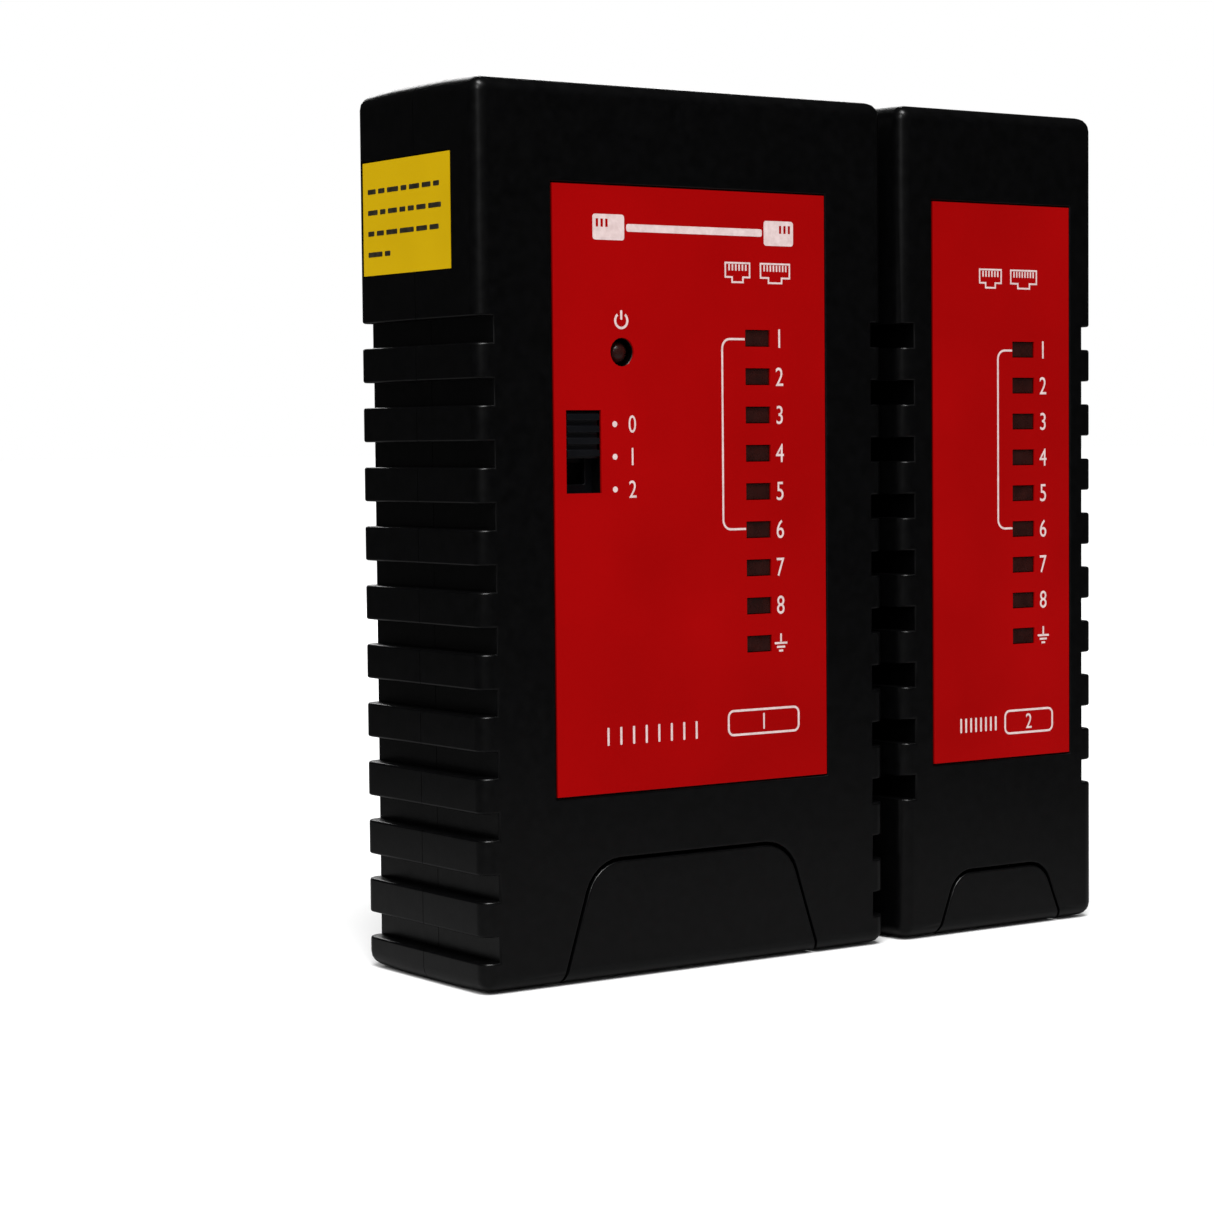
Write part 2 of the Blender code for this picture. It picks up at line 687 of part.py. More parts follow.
def cap_tab(name, unit, side):
    """A tab on a cap's front plate (side -1) or rear plate (side 1), which hooks inside the shell's face."""
    width, thickness, rise = TAB
    inner = CAVITY_BACK - TAB_GAP
    bottom, shoulder, top = CAP_FLOOR + TAB_ROOTS[0], unit.cap[1] - TAB_ROOTS[1], unit.cap[1] + rise
    outline = [
        (CAVITY_BACK + BITE, bottom), (inner - thickness, bottom), (inner - thickness, top),
        (inner, top), (inner, shoulder), (CAVITY_BACK + BITE, shoulder),
    ]
    return extruded(name, [(side * y, z) for y, z in outline], "x", around(unit.centre, width))


# ---------------------------------------------------------------- faceplates, lamps and switch


def faceplate(unit):
    """The printed film that fills the front recess, with a window for each lamp."""
    name = f"{unit.name}_faceplate"
    y = (FRONT + PLATE_RECESS - SEAT_GAP - PLATE_THICKNESS, FRONT + PLATE_RECESS - SEAT_GAP)
    plate = box(name, unit.plate, y, (PLATE_BOTTOM, PLATE_TOP), "faceplate_film")
    cut(plate, lamp_windows(unit, LAMP_WINDOW, (FRONT - OVERSHOOT, CAVITY_FRONT)))
    return plate


def lamp(name, x, z):
    """A rectangular lamp: a lens block on a wider foot."""
    seat = BOARD_FRONT - SEAT_GAP
    lens_y = (FRONT + LAMP_SINK, seat)
    piece = box(name, around(x, LAMP_SIZE[0]), lens_y, around(z, LAMP_SIZE[1]), "lamp_lens")
    extra, thickness = LAMP_FOOT
    foot_x, foot_z = around(x, LAMP_SIZE[0] + extra), around(z, LAMP_SIZE[1] + extra)
    foot = box(f"{name}_foot", foot_x, (seat - thickness, seat - 0.01), foot_z)
    join(piece, foot)
    return piece


def power_lamp():
    """The round lamp above the switch: a domed lens with a flange."""
    seat = BOARD_FRONT - SEAT_GAP
    length = seat - (FRONT + LAMP_SINK)
    radius = POWER_LAMP_RADIUS
    dome = [
        (radius * math.cos(a), length - radius + radius * math.sin(a))
        for a in (math.pi / 2 * i / DOME_STEPS for i in range(DOME_STEPS, -1, -1))
    ]
    flange, thickness = radius + POWER_FLANGE[0], POWER_FLANGE[1]
    profile = [(max(r, 0.0), along) for r, along in dome]
    profile += [(radius, thickness), (flange, thickness), (flange, 0), (0, 0)]
    location = (MASTER.left + POWER_LAMP[0], seat, POWER_LAMP[1])
    return turned("power_lamp", profile, location, "lamp_lens")


def open_master_face(shell, plate):
    """The power lamp's hole and the switch slot, through the master's front wall and faceplate."""
    x, z = MASTER.left + POWER_LAMP[0], POWER_LAMP[1]
    hole = cylinders("power_hole", POWER_HOLE_RADIUS, past((FRONT, CAVITY_FRONT)), [(x, z)])
    slot = box("switch_slot", slot_x(), past((FRONT, CAVITY_FRONT)), SLOT_Z)
    cut(shell, hole, slot)
    cut(plate, hole, slot)


def slot_x():
    return tuple(MASTER.left + x for x in SLOT_X)


def switch_frame(centre_x, front, seat):
    """The switch's frame: a box with a chamber for the slider and a gate for its stem."""
    centre_z = middle(SLOT_Z)
    frame = box(
        "switch_frame", around(centre_x, SWITCH_FRAME[0]), (front, seat), around(centre_z, SWITCH_FRAME[1]),
        "switch_plastic",
    )
    chamber = box(
        "switch_chamber", around(centre_x, SWITCH_CHAMBER[0]), (front + SWITCH_WALL, seat - SWITCH_WALL),
        around(centre_z, SWITCH_CHAMBER[1]),
    )
    gate = box(
        "switch_gate", around(centre_x, STEM[0] + GATE_ROOM), (front - OVERSHOOT, seat - OVERSHOOT),
        around(centre_z, STEM[1] + SWITCH_TRAVEL + 2 * SLIDE_GAP),
    )
    cut(frame, chamber, gate)


def switch_slider(centre_x, rest_z, y):
    """The slider in the frame, with the stem that carries the knob."""
    slider = box("switch_slider", around(centre_x, SLIDER[0]), y, around(rest_z, SLIDER[1]), "switch_plastic")
    stem_y = (CAVITY_FRONT - STEM_REACH, y[0] + SWITCH_WALL / 2)
    join(slider, box("switch_stem", around(centre_x, STEM[0]), stem_y, around(rest_z, STEM[1])))
    return slider


def switch_knob(centre_x, knob_z):
    """The ridged knob, socketed onto the slider's stem."""
    rest_z = middle(knob_z)
    x = around(centre_x, SLOT_X[1] - SLOT_X[0] - 2 * SLIDE_GAP)
    knob = box("switch_knob", x, (FRONT + KNOB_SINK, CAVITY_FRONT + SEAT_GAP), knob_z, "switch_plastic")
    ridge_y = (FRONT + RIDGE_SINK, FRONT + RIDGE_SINK + RIDGE_HEIGHT)
    for i in range(RIDGES):
        ridge_z = around(rest_z + (i - (RIDGES - 1) / 2) * RIDGE_PITCH, RIDGE_WIDTH)
        join(knob, box(f"knob_ridge_{i}", x, ridge_y, ridge_z))
    room, end = SOCKET_ROOM
    socket_y = (CAVITY_FRONT - STEM_REACH - end, CAVITY_FRONT + OVERSHOOT)
    cut(knob, box("knob_socket", around(centre_x, STEM[0] + room), socket_y, around(rest_z, STEM[1] + room)))
    return knob


def switch_parts():
    """The switch's frame, and the slider and knob that travel in it, which are returned."""
    seat = BOARD_FRONT - SEAT_GAP
    front = CAVITY_FRONT + SWITCH_REACH
    centre_x = middle(slot_x())
    switch_frame(centre_x, front, seat)
    knob_top = SLOT_Z[1] - SLIDE_GAP
    knob_z = (knob_top - KNOB_HEIGHT, knob_top)
    inset = SWITCH_WALL + SLIDE_GAP
    slider = switch_slider(centre_x, middle(knob_z), (front + inset, seat - inset))
    return [slider, switch_knob(centre_x, knob_z)]


# ---------------------------------------------------------------- boards and what is on them


def circuit_board(unit):
    name = f"{unit.name}_circuit_board"
    edge = SIDE_WALL + BOARD_EDGE
    low, high = unit.left + edge, unit.right - edge
    outline = [(low, BOARD_BOTTOM), (high, BOARD_BOTTOM), (high, BOARD_TOP), (low, BOARD_TOP)]
    if unit is MASTER:
        right, left = high - BOARD_NOTCH, low + BOARD_NOTCH
        outline[2:] = [
            (high, BOARD_SHOULDER), (right, BOARD_SHOULDER), (right, BOARD_TOP),
            (left, BOARD_TOP), (left, BOARD_SHOULDER), (low, BOARD_SHOULDER),
        ]
    board = extruded(name, outline, "y", (BOARD_FRONT, BOARD_BACK), "board_laminate")
    through = past((BOARD_FRONT, BOARD_BACK))
    hole_radius = BOARD_SCREW_RADIUS + BOARD_HOLE_ROOM[0]
    cut(board, cylinders(f"{name}_screw_holes", hole_radius, through, unit.standoffs, segments=12))
    if unit is REMOTE:
        boss_hole = BOSS_RADIUS + BOARD_HOLE_ROOM[1]
        cut(board, cylinders(f"{name}_boss_hole", boss_hole, through, unit.bosses[:1]))
    return board


def jack(name, kind, x):
    """A modular jack: a housing with a stepped socket open at the top, its latch side to the board."""
    centre = middle(x)
    bottom = JACK_FACE - JACK_DEPTH
    floor, ceiling = JACK_FRONT + SOCKET_FLOOR, JACK_FRONT + SOCKET_CEILING
    mouth = JACK_FACE + OVERSHOOT
    y = (JACK_FRONT, JACK_FRONT + JACK_HEIGHT)
    housing = box(name, x, y, (bottom, JACK_FACE), "jack_plastic")
    socket_z = (JACK_FACE - SOCKET_DEPTH, mouth)
    cut(housing, box(f"{name}_socket", around(centre, kind["socket"]), (floor, ceiling), socket_z))
    for label, (width, depth) in (("latch", LATCH), ("key", KEY)):
        z = (JACK_FACE - LATCH_LENGTH, mouth)
        cut(housing, box(f"{name}_{label}", around(centre, width), (floor - depth, floor + OVERSHOOT), z))
    seat_y = (floor + OVERSHOOT, ceiling - INSERT_MARGIN)
    seat_z = past((bottom, JACK_FACE - SOCKET_DEPTH))
    cut(housing, box(f"{name}_seat", around(centre, kind["socket"] - 2 * INSERT_MARGIN), seat_y, seat_z))
    return housing


def jack_contacts(name, kind, x):
    """The contact insert: a block behind the socket carrying spring wires that fold back into it."""
    centre = middle(x)
    bottom = JACK_FACE - JACK_DEPTH
    ceiling = JACK_FRONT + SOCKET_CEILING
    insert = box(
        name,
        around(centre, kind["socket"] - 2 * (INSERT_MARGIN + SEAT_GAP)),
        (JACK_FRONT + SOCKET_FLOOR + OVERSHOOT + SEAT_GAP, ceiling - INSERT_MARGIN - SEAT_GAP),
        (bottom + INSERT_LIFT, bottom + INSERT_LIFT + INSERT_DEPTH),
        "contact_gold",
    )
    outline = [(ceiling - away, JACK_FACE - below) for away, below in CONTACT_SIDE]
    for i in range(kind["contacts"]):
        along = centre + (i - (kind["contacts"] - 1) / 2) * CONTACT_PITCH
        join(insert, extruded(f"{name}_wire_{i}", outline, "x", around(along, CONTACT_WIDTH)))
    return insert


def dual_in_line_chip(name, pins_a_side, centre):
    """A chip lying on the back of the board, its two rows of legs running along X."""
    x, z = MASTER.left + centre[0], centre[1]
    seat = BOARD_BACK + SEAT_GAP
    thickness, width = CHIP_BODY
    body_y = (seat + CHIP_LIFT, seat + CHIP_LIFT + thickness)
    chip = box(name, around(x, CHIP_PITCH * pins_a_side - CHIP_END), body_y, around(z, width), "chip_epoxy")
    leg_width, leg_height, leg_span = LEG
    for i in range(pins_a_side):
        leg_x = around(x + (i - (pins_a_side - 1) / 2) * CHIP_PITCH, leg_width)
        join(chip, box(f"{name}_legs_{i}", leg_x, (seat, seat + leg_height), around(z, leg_span)))
    return chip


def capacitor():
    seat = BOARD_BACK + SEAT_GAP
    centre = (MASTER.left + CAPACITOR[0], CAPACITOR[1])
    y = (seat, seat + CAPACITOR_LENGTH)
    return cylinders("master_capacitor", CAPACITOR_RADIUS, y, [centre], "capacitor_sleeve", segments=16)


def screw(name, centre, head_y, tip_y, radius, head_radius, head_height):
    """A pan-head screw driven from the back, with a cross recess."""
    x, z = centre
    piece = cylinders(name, radius, (tip_y, head_y + HEAD_BITE), [centre], "plated_steel", segments=12)
    head = cylinders(f"{name}_head", head_radius, (head_y, head_y + head_height), [centre], segments=16)
    join(piece, head)
    arm, blade = head_radius * RECESS[0], head_radius * RECESS[1]
    top = (head_y + head_height - RECESS[2], head_y + head_height + OVERSHOOT)
    cut(
        piece,
        box(f"{name}_recess_x", around(x, arm), top, around(z, blade)),
        box(f"{name}_recess_z", around(x, blade), top, around(z, arm)),
    )
    return piece


def screws(unit):
    made = []
    for i, centre in enumerate(unit.bosses, 1):
        name = f"{unit.name}_case_screw_{i}"
        head = COUNTERBORE_FLOOR + SEAT_GAP
        tip = CAVITY_FRONT + CASE_TIP
        sizes = (CASE_SCREW_RADIUS, CASE_HEAD_RADIUS, CASE_HEAD_HEIGHT)
        made.append(screw(name, centre, head, tip, *sizes))
    for i, centre in enumerate(unit.standoffs, 1):
        name = f"{unit.name}_board_screw_{i}"
        head = BOARD_BACK + SEAT_GAP
        tip = CAVITY_FRONT + BOARD_TIP
        sizes = (BOARD_SCREW_RADIUS, BOARD_HEAD_RADIUS, BOARD_HEAD_HEIGHT)
        made.append(screw(name, centre, head, tip, *sizes))
    return made


# ---------------------------------------------------------------- battery and its wiring


def battery_centre_y():
    return BATTERY_BACK - BATTERY[1] / 2


def terminals():
    """(x, radius) of the positive and the negative snap."""
    half = TERMINAL_SPACING / 2
    return ((MASTER.centre - half, POSITIVE_RADIUS), (MASTER.centre + half, NEGATIVE_RADIUS))


def upright_cylinder(name, x, radius, z, segments):
    bm = bmesh.new()
    bmesh.ops.create_cone(
        bm, cap_ends=True, segments=segments, radius1=radius * MM, radius2=radius * MM,
        depth=(z[1] - z[0]) * MM,
    )
    return add_object(name, mesh_from(name, bm), (x, battery_centre_y(), middle(z)), None)


def battery():
    """A nine-volt block battery standing on the cap's floor, terminals up."""
    width, depth, height = BATTERY
    y = (BATTERY_BACK - depth, BATTERY_BACK)
    top = BATTERY_BOTTOM + height
    piece = box("battery", around(MASTER.centre, width), y, (BATTERY_BOTTOM, top), "battery_jacket")
    round_edges(piece, BATTERY_ROUND)
    for (x, radius), sides in zip(terminals(), (16, 6)):
        z = (top - OVERSHOOT, top + TERMINAL_HEIGHT)
        join(piece, upright_cylinder(f"terminal_{sides}", x, radius, z, sides))
    return piece


def battery_snap():
    """The connector that presses onto both terminals."""
    width, depth, height = SNAP
    bottom = BATTERY_BOTTOM + BATTERY[2] + SEAT_GAP
    y = around(battery_centre_y(), depth)
    piece = box("battery_snap", around(MASTER.centre, width), y, (bottom, bottom + height), "switch_plastic")
    for i, (x, radius) in enumerate(terminals()):
        socket_z = (bottom - OVERSHOOT, bottom + TERMINAL_HEIGHT + SNAP_ROOM)
        cut(piece, upright_cylinder(f"snap_socket_{i}", x, radius + SNAP_ROOM, socket_z, 16))
    return piece


def battery_leads():
    """Two wires from the ends of the snap, round the bay wall and up to the back of the board."""
    start_z = BATTERY_BOTTOM + BATTERY[2] + SEAT_GAP + SNAP[2] / 2
    end_y = BOARD_BACK + SEAT_GAP
    made = []
    for side, material in ((-1, "wire_red"), (1, "wire_black")):
        name = "battery_lead_red" if side < 0 else "battery_lead_black"
        snap_front = battery_centre_y() - SNAP[1] / 2 - SEAT_GAP
        bends = [(across, snap_front - forward, up) for across, forward, up in LEAD_AT_SNAP]
        bends += [(across, end_y + behind, up) for across, behind, up in LEAD_AT_BOARD]
        points = [(MASTER.centre + side * across, y, start_z + up) for across, y, up in bends]
        made.append(wire(name, points, WIRE_RADIUS, material))
    return made


def caution_label():
    """The yellow film on the master's left side, above the grip, let in flush with the plastic."""
    x = (MASTER.left + LABEL_SINK, MASTER.left + LABEL_SINK + LABEL_THICKNESS)
    return box("master_caution_label", x, LABEL_Y, LABEL_Z, "caution_film")


def recess_caution_label(*shells):
    x = (MASTER.left - OVERSHOOT, MASTER.left + LABEL_RECESS)
    y = (LABEL_Y[0] - FILM_ROOM, LABEL_Y[1] + FILM_ROOM)
    z = (LABEL_Z[0] - FILM_ROOM, LABEL_Z[1] + FILM_ROOM)
    pocket = box("caution_recess", x, y, z)
    for shell in shells:
        cut(shell, pocket)


# ---------------------------------------------------------------- assembly


def build_unit(unit):
    """Everything both units have. Returns the pieces that ride on the unit, shells first."""
    made = [front_shell(unit), rear_shell(unit), faceplate(unit), circuit_board(unit)]
    for kind, label, x in zip((RJ45, RJ11), ("rj45", "rj11"), jack_spans(unit)):
        made.append(jack(f"{unit.name}_{label}_jack", kind, x))
        made.append(jack_contacts(f"{unit.name}_{label}_contacts", kind, x))
    for label, z in zip(LAMP_NAMES, unit.lamp_z):
        made.append(lamp(f"{unit.name}_lamp_{label}", unit.lamp_x, z))
    return made + screws(unit)


def joint_axis(name, location, children):
    """An empty on a joint's axis, which carries the pieces that move with it."""
    empty = bpy.data.objects.new(name, None)
    empty.empty_display_size = 0.01
    empty.location = Vector(location) * MM
    pieces.objects.link(empty)
    for child in children:
        child.parent = empty
        child.matrix_parent_inverse = Matrix.Translation(empty.location).inverted()


def build_tester():
    master = build_unit(MASTER)
    front, rear, plate = master[:3]
    open_master_face(front, plate)
    recess_caution_label(front, rear)
    caution_label()
    power_lamp()
    switch = switch_parts()
    dual_in_line_chip("master_timer_chip", 4, TIMER_CHIP)
    dual_in_line_chip("master_counter_chip", 8, COUNTER_CHIP)
    capacitor()
    battery()
    battery_snap()
    battery_leads()
    battery_cap = cap("battery_cap", MASTER)
    remote = build_unit(REMOTE)
    remote.append(cap("remote_end_cap", REMOTE))
    joint_axis("switch_slide", (middle(slot_x()), FRONT, SLOT_Z[1]), switch)
    joint_axis("battery_cap_slide", (MASTER.centre, 0, 0), [battery_cap])
    joint_axis("remote_slide", (MASTER.right + DOCK_GAP / 2, 0, CHANNEL_BOTTOM), remote)


clear_scene()
pieces = new_collection("network_cable_tester")
cutters = new_collection("cutters")
paint = make_materials()
build_tester()
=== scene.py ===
"""Looks of the network cable tester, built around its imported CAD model.

Every visible CAD piece is replaced by a finer copy of itself with rounded edges and a procedural
material, and the printing on the front films and the side label is modelled on top of them. The
printing is generic: numbers, plug pictograms and plain bars in place of words.
"""

import json
import math
import random

import bmesh
import bpy
from mathutils import Matrix, Vector


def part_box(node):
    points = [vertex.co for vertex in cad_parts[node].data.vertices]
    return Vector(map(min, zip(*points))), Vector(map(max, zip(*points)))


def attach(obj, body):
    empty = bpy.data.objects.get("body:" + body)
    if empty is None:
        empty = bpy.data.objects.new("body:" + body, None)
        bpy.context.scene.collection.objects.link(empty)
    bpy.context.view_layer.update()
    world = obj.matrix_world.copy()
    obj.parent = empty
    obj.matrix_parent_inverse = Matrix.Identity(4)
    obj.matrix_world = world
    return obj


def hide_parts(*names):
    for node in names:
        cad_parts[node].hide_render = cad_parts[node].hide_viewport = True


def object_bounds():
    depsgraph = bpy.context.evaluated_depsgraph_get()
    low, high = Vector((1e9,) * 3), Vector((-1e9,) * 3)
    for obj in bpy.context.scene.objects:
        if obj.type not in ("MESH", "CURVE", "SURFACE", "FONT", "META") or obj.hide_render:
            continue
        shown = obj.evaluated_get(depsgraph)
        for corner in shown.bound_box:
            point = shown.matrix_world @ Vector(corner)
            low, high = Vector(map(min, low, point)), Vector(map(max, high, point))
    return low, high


MM = 0.001

# ---- Camera: where it stands, which way it looks, and its lens, in metres and millimetres ----
CAMERA_PLACE = Vector((-0.2395, -0.3139, 0.0658))
CAMERA_FORWARD = Vector((0.5692, 0.8204, -0.0550))
CAMERA_UP = Vector((0.0391, 0.0398, 0.9984))
SENSOR = 36.0
LENS = 89.5

# ---- Rounding, in mm ----
CASE_ROUND = 0.28  # under half of the thinnest rib between two sockets
CAP_ROUND = 0.2
FINE_ROUND = 0.12
FILM_ROUND = 0.04
CONTACT_ROUND = 0.05
ROUND_FROM = 30  # degrees between two faces from which the edge is rounded
SKIN_ROUND_FROM = 35  # the same, on a case part
SKIN_FACE = 0.6  # an edge this close to a face or an end of a case is on its outside
SKIN_GROOVE = 2.3  # the same, from a side, within the grip
GRIP_TOP = 82.0  # height of the top of the grip
PARTING_HALF = 0.2  # edges this close to the line between the two shells stay sharp
CORNER_BAND = 1.9  # and so do those on the rounded edge between a face and an end
SHARP_FROM = 40  # degrees between two faces from which the edge is shaded sharp
FLAT_WITHIN = 0.5  # degrees between neighbouring faces that are one flat stretch
MERGE = 0.0005  # vertices this close are one
CUT_SHIFT = 0.03  # keeps a cut through an opening's middle off the vertices there

# ---- Printing ----
INK_THICKNESS = 0.02  # how far the ink stands out of the film, and sinks into it
NUMBERED_LAMPS = "12345678"  # the ninth, g, has the ground sign
DIGIT_HEIGHT = 2.3
LINE_WIDTH = 0.27
# By unit: from its left side to its film, from a lamp's middle to the bracket and to its number, and its
# signs. A sign is its middle, across from the unit's left side and up from its base, and its size.
LAYOUT = {
    "master": {
        "film": 10.7, "bracket": 5.7, "digits": 3.4, "rj11": (38.3, 86.5), "rj45": (44.2, 86.5),
        "wires": (24.8, 29.9, 13.6, 2.2), "number": ("1", 42.0, 30.4, 11.4),
    },
    "remote": {
        "film": 5.4, "bracket": 4.7, "digits": 3.5, "rj11": (15.4, 86.7), "rj45": (21.3, 86.7),
        "wires": (13.1, 27.7, 6.4, 1.9), "number": ("2", 22.1, 27.7, 8.8),
    },
}
RJ11_SIGN = (4.0, 2.6, 6)  # width, height and contacts
RJ45_SIGN = (4.8, 2.6, 8)
WINDOW_HALF = 1.95  # from a lamp's middle to its window's edge
BRACKET_GAP = 0.1
TITLE_SIGN = (31.8, 91.5, 30.6, 3.1)
POWER_SIGN = (20.6, 80.3, 1.05)
SWITCH_MARKS = [(19.5, 67.8), (19.5, 63.85), (19.5, 59.9)]
SWITCH_DOT_RADIUS = 0.36
SWITCH_DIGITS = (2.6, 2.1)  # from a dot to its number, and the number's height
UNIT_DIGIT_HEIGHT = 2.0

# ---- Bars on the side label, as parts of its width and height, and in mm ----
LABEL_LINES = (0.93, 0.90, 0.90, 0.34)  # how far across each line reaches
LABEL_MARGIN = 0.06
LABEL_SEED = 7
LABEL_FIRST, LABEL_LEADING = 0.74, 0.185  # height of the first line, and from line to line
WORD_LENGTH = (1.2, 3.4)
WORD_GAP, WORD_HALF_HEIGHT, WORD_LEAST = 0.6, 0.3, 0.8

# ---- Studio ----
FLOOR_SIZE = 12.0
# How light the floor looks in reflections, by the distance from its middle in metres.
FLOOR_REFLECTION = {"From Min": 0.06, "From Max": 0.25, "To Min": 0.19, "To Max": 0.02}

WORLD_FILL = 0.40
WORLD_SEEN = {"Is Glossy Ray": 0.018, "Is Camera Ray": 1.0}  # its strength to those rays
SUN_STRENGTH = 3.7
SUN_SPREAD = 30  # degrees
SUN_DIRECTION = (0.28, 0.45, -0.90)
# Where each stands, what it points at, its width and height, in metres, and its power in watts.
AREA_LIGHTS = {
    "rear_panel": ((0.35, 0.75, 0.45), (0, 0, 0.06), 0.5, 0.3, 2.0),
    "glint": ((-0.55, -0.45, 0.40), (0, 0, 0.05), 0.05, 0.05, 1.0),
}

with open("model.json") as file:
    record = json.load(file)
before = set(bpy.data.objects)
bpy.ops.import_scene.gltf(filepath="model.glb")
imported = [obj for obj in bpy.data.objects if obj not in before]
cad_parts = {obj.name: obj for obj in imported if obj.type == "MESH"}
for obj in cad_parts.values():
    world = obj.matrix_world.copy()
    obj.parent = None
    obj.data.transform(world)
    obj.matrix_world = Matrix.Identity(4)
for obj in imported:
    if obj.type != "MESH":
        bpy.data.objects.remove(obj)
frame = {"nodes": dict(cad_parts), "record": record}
cad_low, cad_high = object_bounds()
record = frame["record"]
slot_of = {part["node"]: part["material_slot"] for part in record["subparts"]}
body_of = {node: body for body, nodes in record["behaviour"]["bodies"].items() for node in nodes}


# ---------------------------------------------------------------- material tools


class Nodes:
    """A material's node tree, with short calls for the nodes used here."""

    def __init__(self, name):
        self.material = bpy.data.materials.new(name)
        self.material.use_nodes = True
        self.tree = self.material.node_tree
        self.shader = self.tree.nodes["Principled BSDF"]
        self.coordinates = self.tree.nodes.new("ShaderNodeTexCoord").outputs["Object"]

    def link(self, source, target):
        self.tree.links.new(source, target)

    def set(self, **values):
        for name, value in values.items():
            self.shader.inputs[name.replace("_", " ")].default_value = value

    def noise(self, scale, detail=4.0, stretch=(1, 1, 1)):
        mapping = self.tree.nodes.new("ShaderNodeMapping")
        mapping.inputs["Scale"].default_value = stretch
        self.link(self.coordinates, mapping.inputs["Vector"])
        noise = self.tree.nodes.new("ShaderNodeTexNoise")
        noise.inputs["Scale"].default_value = scale
        noise.inputs["Detail"].default_value = detail
        self.link(mapping.outputs["Vector"], noise.inputs["Vector"])
        return noise.outputs["Fac"]

    def ramp(self, source, low, high, start=0.3, end=0.7):
        """Maps a 0 to 1 source onto the stretch between two greys or two colours."""
        ramp = self.tree.nodes.new("ShaderNodeValToRGB")
        for element, place, value in zip(ramp.color_ramp.elements, (start, end), (low, high)):
            element.position = place
            element.color = (*value, 1) if isinstance(value, tuple) else (value, value, value, 1)
        self.link(source, ramp.inputs["Fac"])
        return ramp.outputs["Color"]

    def colour(self, source, low, high, start=0.3, end=0.7):
        self.link(self.ramp(source, low, high, start, end), self.shader.inputs["Base Color"])

    def roughness(self, source, low, high):
        self.link(self.ramp(source, low, high), self.shader.inputs["Roughness"])

    def bump(self, source, depth):
        """Adds a bump of the given depth in mm, on top of any earlier one."""
        bump = self.tree.nodes.new("ShaderNodeBump")
        bump.inputs["Distance"].default_value = depth * MM
        self.link(source, bump.inputs["Height"])
        earlier = self.shader.inputs["Normal"].links
        if earlier:
            self.link(earlier[0].from_socket, bump.inputs["Normal"])
        self.link(bump.outputs["Normal"], self.shader.inputs["Normal"])


def case_plastic():
    """Black ABS with a fine spark-eroded grain, a little uneven in gloss."""
    n = Nodes("case_abs")
    n.colour(n.noise(900, 3), (0.0006, 0.0006, 0.0007), (0.0014, 0.0014, 0.0016))
    n.roughness(n.noise(700, 4), 0.28, 0.35)
    n.bump(n.noise(3200, 2), 0.006)
    n.bump(n.noise(1100, 3), 0.004)
    n.set(Specular_IOR_Level=0.30)
    return n.material


def film(name, dark, light):
    """A printed film: even ink with a faint cloud in it, and a slight orange-peel surface."""
    n = Nodes(name)
    n.colour(n.noise(45, 3), dark, light)
    n.roughness(n.noise(160, 4), 0.42, 0.52)
    n.bump(n.noise(900, 2), 0.004)
    n.set(Specular_IOR_Level=0.015)
    return n.material


def ink(name, dark, light):
    """Screen-printed ink, slightly uneven."""
    n = Nodes(name)
    n.colour(n.noise(1400, 3), dark, light)
    n.roughness(n.noise(900, 2), 0.42, 0.55)
    n.bump(n.noise(5000, 2), 0.003)
    return n.material


def lens():
    """A dark tinted lamp lens, glossy on the outside."""
    n = Nodes("lamp_tint")
    n.colour(n.noise(500, 3), (0.013, 0.0026, 0.0020), (0.022, 0.0040, 0.0030))
    n.roughness(n.noise(700, 2), 0.22, 0.32)
    n.bump(n.noise(1200, 2), 0.004)
    n.set(Specular_IOR_Level=0.4)
    return n.material


def plain_plastic(name, dark, light, low=0.4, high=0.55, grain=0.008, gloss=0.5):
    n = Nodes(name)
    n.colour(n.noise(150), dark, light)
    n.roughness(n.noise(300, 4), low, high)
    n.bump(n.noise(2600, 2), grain)
    n.set(Specular_IOR_Level=gloss)
    return n.material


def metal(name, dark, light, stretch=(1, 1, 1), low=0.18, high=0.36):
    n = Nodes(name)
    n.colour(n.noise(220, 3), dark, light)
    n.roughness(n.noise(1500, 3, stretch), low, high)
    n.bump(n.noise(2400, 3, stretch), 0.004)
    n.set(Metallic=1.0)
    return n.material


def board_laminate():
    """Green solder mask with a faint weave and darker copper areas under it."""
    n = Nodes("board_mask")
    n.colour(n.noise(380, 2), (0.004, 0.06, 0.022), (0.008, 0.13, 0.05), 0.46, 0.54)
    n.roughness(n.noise(700, 3), 0.3, 0.45)
    n.bump(n.noise(1800, 2), 0.008)
    return n.material


